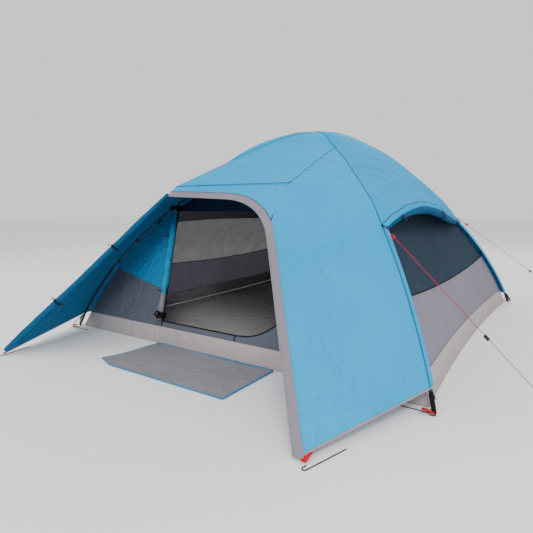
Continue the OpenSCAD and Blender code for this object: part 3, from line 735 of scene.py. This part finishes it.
ARCH_NORMAL = np.array([0, -math.sin(ARCH_TILT), math.cos(ARCH_TILT)])


def trim_at(u, v, lift=0.0):
    x, up = mix(along(outer_line, u), along(inner_line, u), v)
    return arch_point(x, up) + ARCH_NORMAL * (0.0015 + lift + 0.0022 * math.sin(math.pi * v))


trim_parts = [patch(trim_at, 110, 7, 0.003, 21, 20, 60) + (0,)]
for v in (0.08, 0.92):
    trim_parts.append(tube(run(lambda t: trim_at(t, v, 0.001), 110), 0.0016, 5) + (1,))
verts, faces, index = join(trim_parts)
trim = mesh("arch_band", verts, faces, [TRIM, PIPING], index)
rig.replaces(trim, "arch_trim")
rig.slot(trim, "trim")


# --- inner tent
def drawn_in(z):
    return mix(SIDE_BOW, 0.018, z / 0.8)


def right_at(s, z):
    return np.array([inner_r(z) * UX - drawn_in(z) * (1 - s * s), s * inner_r(z) * UY, z])


def back_at(s, z):
    return np.array([-s * inner_r(z) * UX, inner_r(z) * UY - 0.3 * drawn_in(z) * (1 - s * s), z])


def front_at(x, z):
    return np.array([x, -inner_r(z) * UY, z])


def left_at(s, z):
    return right_at(-s, z) * (-1, 1, 1)


def wall_top(s):
    return WALL_TOP_MID + WALL_TOP_RISE * s * s


def strip(side, low, high):
    """A wall panel between two heights, each a function of the place along the wall."""
    return lambda u, v: side((2 * v - 1) * WALL_SPAN, mix(high(2 * v - 1), low(2 * v - 1), u))


def door_left(z):
    return -0.455 - 0.285 * (z / 0.844) ** 2


def door_right(z):
    return DOOR_X + DOOR_SPREAD * ((max(z, SILL) - SILL) / DOOR_HEIGHT) ** DOOR_POWER


def post(side, low, high, fall_low, fall_high):
    def point(u, v):
        b = v if side < 0 else 1 - v
        z = mix(high - fall_high * b, low - fall_low * b, u)
        door_edge = door_left(z) if side < 0 else door_right(z)
        return front_at(mix(side * (inner_r(z) * UX - 0.005), door_edge, b), z)
    return point


MESH_TOP = 0.8025
tub_parts, wall_parts, net_parts = [], [], []
for i, side in enumerate((right_at, back_at, left_at)):
    band_at = strip(side, lambda s: SEAM_GAP, lambda s: BAND_SIDE)
    wall_at = strip(side, lambda s: BAND_SIDE + 0.002, wall_top)
    net_at = strip(side, lambda s: wall_top(s) + 0.002, lambda s: MESH_TOP)
    tub_parts.append(patch(band_at, 8, 90, 0.004, 30 + i, 8, 50, 0.3) + (0,))
    wall_parts.append(patch(wall_at, 22, 90, 0.008, 40 + i, 4, 26, 0.4) + (0,))
    net_parts.append(patch(net_at, 26, 90, 0.010, 50 + i, 3, 18, 0.4) + (0,))


def front_band(u, v):
    z = mix(BAND_FRONT, SEAM_GAP, u)
    return front_at((2 * v - 1) * inner_r(z) * UX, z)


tub_parts.append(patch(front_band, 8, 90, 0.004, 33, 8, 50, 0.3) + (0,))


def floor_at(u, v):
    s = 2 * u - 1
    edge = inner_r(0)
    x = (edge * UX - SIDE_BOW * (1 - s * s)) * (2 * v - 1)
    return np.array([x, s * edge * UY, 0.002])


tub_parts.append(patch(floor_at, 40, 40, 0.0015, 34, 6, 30) + (0,))
verts, faces, index = join(tub_parts)
tub = mesh("bathtub_floor", verts, faces, [TUB], index)
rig.replaces(tub, "floor", "band_front", "band_right", "band_back", "band_left")
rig.slot(tub, "floor_cloth")

for side in (-1, 1):
    low_post = post(side, BAND_FRONT + SEAM_GAP, FRONT_TOP, 0, FRONT_FALL)
    wall_parts.append(patch(low_post, 60, 30, 0.006, 44 + side, 4, 20, 0.4) + (1,))


def sill(u, v):
    return front_at(mix(door_left(SILL), DOOR_X + SEAM_GAP, v), mix(SILL, BAND_FRONT + SEAM_GAP, u))


wall_parts.append(patch(sill, 4, 30) + (1,))
verts, faces, index = join(wall_parts)
walls = mesh("wall_sheet", verts, faces, [WALL, WALL_FRONT], index)
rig.replaces(walls, "wall_front", "wall_right", "wall_back", "wall_left")
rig.slot(walls, "wall_cloth")

verts, faces, index = join(net_parts)
nets = mesh("netting_sheet", verts, faces, [NET], index)
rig.replaces(nets, "mesh_right", "mesh_back", "mesh_left")
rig.slot(nets, "netting")

door_parts = []
for side in (-1, 1):
    high_post = post(side, FRONT_TOP + SEAM_GAP, MESH_TOP, FRONT_FALL, 0)
    door_parts.append(patch(high_post, 26, 24, 0.006, 60 + side, 3, 14, 0.4) + (0,))
verts, faces, index = join(door_parts)
surround = mesh("door_frame_cloth", verts, faces, [DOOR], index)
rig.replaces(surround, "door_surround")
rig.slot(surround, "door_cloth")

ROOF_R = [0.046, 0.25, 0.5, 0.78, inner_r(0.8)]
ROOF_Z = [min(arm_z(r), HINGE[1]) - 0.036 for r in ROOF_R[:-1]] + [MESH_TOP + 0.0005]


def ceiling(turn):
    def point(u, v):
        s, w = 2 * v - 1, 4 * u
        r = float(np.interp(w, range(5), ROOF_R))
        z = float(np.interp(w, range(5), ROOF_Z)) - 0.014 * (1 - s * s) * min(4 - w, 1)
        x, y = r * UX, r * UY
        return np.array({0: (x, s * y, z), 1: (-s * x, y, z), 2: (-x, -s * y, z), 3: (s * x, -y, z)}[turn])
    return point


verts, faces, index = join([patch(ceiling(t), 26, 36, 0.006, 70 + t) + (0,) for t in range(4)])
ceiling_net = mesh("ceiling_netting", verts, faces, [NET_ROOF], index)
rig.replaces(ceiling_net, "inner_roof")
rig.slot(ceiling_net, "netting")

# seams, zip and binding of the inner tent
lines = []
for side in (right_at, back_at, left_at):
    lines.append(tube(run(lambda t: side((2 * t - 1) * WALL_SPAN, wall_top(2 * t - 1)), 60), 0.003, 6) + (0,))
    lines.append(tube(run(lambda t: side((2 * t - 1) * WALL_SPAN, BAND_SIDE + 0.001), 60), 0.002, 6) + (1,))
    if side is not right_at:
        lines.append(tube(run(lambda t: side((2 * t - 1) * WALL_SPAN, MESH_TOP), 60), 0.0035, 6) + (0,))
for side in (-1, 1):
    p = post(side, FRONT_TOP + SEAM_GAP, MESH_TOP, FRONT_FALL, 0)
    lines.append(tube(run(lambda t: p(t, 1 if side < 0 else 0), 40), 0.004, 6) + (0,))
    q = post(side, BAND_FRONT + SEAM_GAP, FRONT_TOP, 0, FRONT_FALL)
    lines.append(tube(run(lambda t: q(t, 1 if side < 0 else 0), 30), 0.004, 6) + (0,))
    lines.append(tube(run(lambda t: q(0, t), 30), 0.002, 6) + (1,))
sill_line = run(lambda t: front_at(mix(door_left(SILL), DOOR_X + SEAM_GAP, t), SILL), 30)
lines.append(tube(sill_line, 0.004, 6) + (0,))
band_half = inner_r(BAND_FRONT) * UX
band_line = run(lambda t: front_at((2 * t - 1) * band_half, BAND_FRONT + 0.001), 60)
lines.append(tube(band_line, 0.002, 6) + (1,))
verts, faces, index = join(lines)
inner_seams = mesh("inner_seams", verts, faces, [WEBBING, SEAM_GREY], index)


# --- rolled cloth
def roll(name, route, radii, turns, mats, node, slot, seed, split=None):
    """Cloth rolled on itself: a spiral carried along a route, uneven from end to end."""
    route = [np.array(p, float) for p in route]
    n = (len(route) - 1) * 6 + 1
    places = np.linspace(0, len(route) - 1, n)
    path = [curve(route, t) for t in places]
    ruffle = field(seed, low=2, high=12)
    steps = int(turns * ROLL_STEPS)
    verts = []
    for i, p in enumerate(path):
        _, s, u = frame_at(path, i)
        outer = float(np.interp(places[i], range(len(radii)), radii)) - 0.001
        for j in range(steps + 1):
            a = 2 * math.pi * turns * j / steps + 0.25 * math.sin(9 * i / n)
            share = j / steps
            r = outer * (0.2 + 0.8 * share) * (1 - 0.10 * abs(ruffle(6 * i / n, math.sin(a))) * share)
            verts.append(p + r * (math.cos(a) * s + math.sin(a) * u))
    m = steps + 1
    faces = [(i * m + j, i * m + j + 1, (i + 1) * m + j + 1, (i + 1) * m + j)
             for i in range(n - 1) for j in range(steps)]
    index = [1 if split is not None and verts[f[0]][2] < split else 0 for f in faces]
    obj = mesh(name, verts, faces, mats, index)
    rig.replaces(obj, node)
    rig.slot(obj, slot)
    return obj, path


ties = []


def tie(path, share, radius, wide=0.012):
    """A webbing loop round a roll."""
    i = int(share * (len(path) - 1))
    d, s, u = frame_at(path, i)
    c = path[i]
    ring = [c + radius * (math.cos(a) * s + math.sin(a) * u) for a in np.linspace(0, 2 * math.pi, 25)]
    verts = [p + d * w for p in ring for w in (-wide / 2, wide / 2)]
    ties.append((verts, [(2 * j, 2 * j + 2, 2 * j + 3, 2 * j + 1) for j in range(24)], 0))
    tail = [c + s * radius, c + s * radius * 1.1 - u * 0.02, c + s * radius - u * 0.045]
    ties.append(tube(tail, 0.002, 6) + (0,))


door_route = [front_at(door_left(z) + 0.008, z) - (0, 0.036, 0)
              for z in (0.772, 0.7, 0.62, 0.53, 0.44, 0.35, 0.3, 0.25, 0.2, 0.142)]
door_route.insert(0, 2 * door_route[0] - door_route[1])
DOOR_RADII = [x / 1000 for x in (9, 15, 22, 25, 23, 26, 25, 17, 20, 22, 12)]
door_roll, door_path = roll("door_rolled", door_route, DOOR_RADII, 12,
                            [DOOR, DOOR_GREY], "door_roll", "door_cloth", 80, split=0.3)


def knot(path, share, size):
    """Webbing knotted round a roll, its loops standing off to both sides."""
    i = int(share * (len(path) - 1))
    d, s, u = frame_at(path, i)
    c = path[i] + u * 0.012
    for turn_at, reach in ((0, 1.0), (math.pi, 0.9), (0.6, 0.7), (2.5, 0.8)):
        along_s, along_d = math.cos(turn_at), math.sin(turn_at)
        forth, aside = along_s * s + along_d * d, along_s * d - along_d * s
        loop = [c + size * reach * (math.sin(a / 2) * forth + 0.35 * math.sin(a) * aside)
                + u * 0.008 * math.cos(a) for a in np.linspace(0, 2 * math.pi, 19)]
        ties.append(tube(loop, 0.0055, 6, 0.7) + (0,))


for share, radius, size in ((0.04, 0.015, 0.04), (0.95, 0.019, 0.045)):
    tie(door_path, share, radius, 0.026)
    knot(door_path, share, size)

top, low = np.array([-0.439, -1.064, 0.912]), np.array([-0.99, -1.786, 0.034])
fly_door_route = [mix(top, low, t) - np.array([0, 0, 0.01 * math.sin(math.pi * t)])
                  for t in np.linspace(0, 1, 11)]
FLY_DOOR_RADII = [x / 1000 for x in (11, 16, 20, 19, 22, 22, 20, 23, 23, 22, 16)]
fly_door, fly_door_path = roll("fly_door_rolled", fly_door_route, FLY_DOOR_RADII, 15,
                               [FLY, FLY_PAINTED_SHADE], "fly_door_roll", "fly", 81)
tie(fly_door_path, 0.36, 0.0225)
tie(fly_door_path, 0.7, 0.0245)


def window_route(eave, sign):
    return [window_hang(eave, sign, s) for s in np.linspace(-1, 1, 11)]


WINDOW_RADII = [x / 1000 for x in (10, 18, 24, 28, 27, 30, 29, 27, 26, 20, 10)]
window_right, path_right = roll("window_rolled_right", window_route(guyed, 1), WINDOW_RADII, 9,
                                [FLY_PAINTED_SHADE, FLY], "window_roll_right", "fly", 82)
window_left, path_left = roll("window_rolled_left", window_route(eave_left, -1), WINDOW_RADII, 9,
                              [FLY_PAINTED_SHADE, FLY], "window_roll_left", "fly", 83)
for share, radius in ((0.1, 0.022), (0.55, 0.0305), (0.9, 0.022)):
    tie(path_right, share, radius)
    tie(path_left, share, radius)
verts, faces, index = join(ties)
tie_loops = mesh("tie_loops", verts, faces, [WEBBING], index)

# --- doormat with its binding
half, mat_back, mat_front = 0.435, -1.196, -1.574
outline = [(-half, mat_back), (half, mat_back), (half, mat_front), (-half + 0.075, mat_front),
           (-half - 0.055, mat_front + 0.042), (-half - 0.02, mat_front + 0.14)]


def mat_at(u, v):
    y = mix(mat_back, mat_front, u)
    left = float(np.interp(-y, [-mat_back, -mat_front - 0.14, -mat_front - 0.042, -mat_front],
                           [-half, -half - 0.02, -half - 0.055, -half + 0.075]))
    return np.array([mix(left, half, v), y, 0.0045 + 0.002 * math.sin(7 * v + 3 * u)])


mat_parts = [patch(mat_at, 40, 70, 0.002, 90, 6, 26) + (0,)]
for a, b in zip(outline, outline[1:] + outline[:1]):
    edge_run = [np.array([*mix(np.array(a), np.array(b), t), 0.005]) for t in np.linspace(0, 1, 20)]
    mat_parts.append(tube(edge_run, 0.003, 6) + (1,))
verts, faces, index = join(mat_parts)
mat = mesh("doormat_sheet", verts, faces, [MAT, BINDING], index)
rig.replaces(mat, "mat")
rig.slot(mat, "mat_cloth")

# --- straps, loops and ties at the corners
tabs = []
for k in SIGNS:
    base = diag(k, leg_r(0.082) + 0.02, 0.074)
    out_to = np.array([SIGNS[k][0] * 1.268, SIGNS[k][1] * 1.242, 0.010])
    tabs.append(tube([base, mix(base, out_to, 0.5) + (0, 0, 0.004), out_to], 0.009, 8, 0.2) + (0,))
    tip = out_to + np.array([-0.052 * SIGNS[k][0], 0.004 * SIGNS[k][1], 0.012])
    tag = [tip, mix(tip, out_to, 0.5) + (0, 0, 0.003), out_to + (0, 0, 0.002)]
    tabs.append(tube(tag, 0.012, 8, 0.22) + (1,))
    rod_line = [diag(k, leg_r(z) + 0.0065, z) for z in np.linspace(0.06, 0.42, 20)]
    tabs.append(tube(rod_line, 0.006, 6, 0.5) + (0,))
for foot in (np.array([0.99, -1.795, 0.012]), np.array([-1.02, -1.785, 0.012])):
    tip = foot + np.array([0, 0.045, 0.010])
    tabs.append(tube([tip, mix(tip, foot, 0.5) + (0, 0, 0.002), foot], 0.011, 8, 0.22) + (1,))
for side in (-1, 1):
    corner = np.array([UX * WINDOW_R, side * UY * WINDOW_R, WINDOW_Z])
    tabs.append(tube([corner, np.array([GUY_TOP[0], side * GUY_TOP[1], GUY_TOP[2]])], 0.005, 6, 0.5) + (0,))
verts, faces, index = join(tabs)
corner_tabs = mesh("corner_tabs", verts, faces, [WEBBING, RED], index)

straps = copy_cad("corner_straps", "strap_buckles", PLASTIC)
clips = copy_cad("pole_clips", "clips", PLASTIC)
toggle_bars = copy_cad("toggles", "toggle_bars", PLASTIC)
tension_blocks = copy_cad("tensioners", "tension_blocks", RED_PLASTIC)
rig.replaces(straps, "corner_straps")
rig.replaces(clips, "pole_clips")
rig.replaces(toggle_bars, "toggles")
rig.replaces(tension_blocks, "tensioners")

# --- declarations, before the pieces are set to flatten
for obj, size, held, on, area in (
    (fly, (3.3, 3.6), "stretched", ["brow_pole", "arm_rod_1"], None),
    (tub, (2.7, 2.6), "stretched", ["leg_ends_1"], None),
    (walls, (2.6, 1.3), "hung", ["leg_rod_1"], None),
    (nets, (2.4, 1.3), "hung", ["leg_rod_1"], None),
    (surround, (1.1, 0.6), "hung", ["leg_rod_1"], None),
    (ceiling_net, (1.9, 1.8), "hung", ["arm_rod_1"], None),
    (trim, (2.4, TRIM_W), "stretched", ["fly_sheet"], 2.4 * TRIM_W),
    (door_roll, (1.45, 0.8), "folded", ["door_frame_cloth"], 0.95),
    (fly_door, (1.95, 1.16), "folded", ["fly_sheet"], 1.62),
    (window_right, (2.3, 0.75), "folded", ["fly_sheet"], 1.45),
    (window_left, (2.3, 0.75), "folded", ["fly_sheet"], 1.45),
    (mat, (0.93, 0.38), "laid", [], 0.335),
):
    cloth(obj, size[0], size[1], held, on, area)

for name, side in (("near", -1), ("far", 1)):
    obj, route = cords[name]
    runner = copy_cad("runner_" + name, "slider_" + name, PLASTIC)
    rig.replaces(runner, "runner_" + name)
    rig.replaces(obj, "guy_" + name)
    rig.slot(obj, "cord")
    length = float(np.linalg.norm(route[-1] - route[0]))
    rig.cord(obj, exit=route[0], length=length, diameter=0.003, far_end="object", stiffness="limp", lay="taut",
            path=route, with_pieces=[runner])
    flatten(obj, KEEP_FLY)
    flatten(runner, KEEP_FLY, "runner_" + name)

for obj in (fly, fly_seams, trim, fly_door, window_right, window_left, tie_loops, toggle_bars,
            tension_blocks):
    flatten(obj, KEEP_FLY)
for obj in (walls, nets, surround, ceiling_net, inner_seams, door_roll, tub, corner_tabs, straps, clips):
    flatten(obj, KEEP_INNER)
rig.ride(mat, "tent")

# --- finishes of the CAD pieces that stay
for node, obj in frame["nodes"].items():
    finish = None
    if node.startswith(("arm_rod", "leg_rod", "brow")):
        finish = ROD
    elif node.startswith(("arm_ends", "leg_ends", "hub_body", "hub_cap")):
        finish = PLASTIC
    elif node.startswith(("hub_pins", "elbow_pin")):
        finish = STEEL
    elif node == "pegs":
        finish = PEG
    if finish:
        obj.data.materials.clear()
        obj.data.materials.append(finish)

# --- stage and light
STAGE_HALF, STAGE_Z = 30, -0.0005
floor_data = bpy.data.meshes.new("stage_floor")
corners = [(x * STAGE_HALF, y * STAGE_HALF, STAGE_Z) for x, y in ((-1, -1), (1, -1), (1, 1), (-1, 1))]
floor_data.from_pydata(corners, [], [(0, 1, 2, 3)])
floor_data.materials.append(material("stage", (0.92, 0.92, 0.92), 0.9, shade=0.01, fold=0.02, weave=0.0))
stage = bpy.data.objects.new("stage_floor", floor_data)
bpy.context.scene.collection.objects.link(stage)
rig.stage(stage)
world = bpy.data.worlds.new("studio")
world.use_nodes = True
world.node_tree.nodes["Background"].inputs["Color"].default_value = (1, 1, 1, 1)
world.node_tree.nodes["Background"].inputs["Strength"].default_value = 1.0
bpy.context.scene.world = world


def lamp(name, place, size, power):
    data = bpy.data.lights.new(name, "AREA")
    data.shape = "DISK"
    data.size = size
    data.energy = power
    obj = bpy.data.objects.new(name, data)
    obj.location = place
    obj.rotation_euler = (Vector((0, 0, 0.5)) - Vector(place)).to_track_quat("-Z", "Y").to_euler()
    bpy.context.scene.collection.objects.link(obj)
    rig.stage(obj)


lamp("key", (3.5, -5.0, 5.0), 3.0, 230)
lamp("fill", (-5.0, -3.5, 3.5), 4.0, 90)
lamp("rim", (-1.0, 5.0, 4.5), 3.0, 120)

size_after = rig.bounds()
with open("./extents.json", "w") as out_file:
    json.dump({"before": [list(c) for c in size_before], "after": [list(c) for c in size_after]}, out_file)
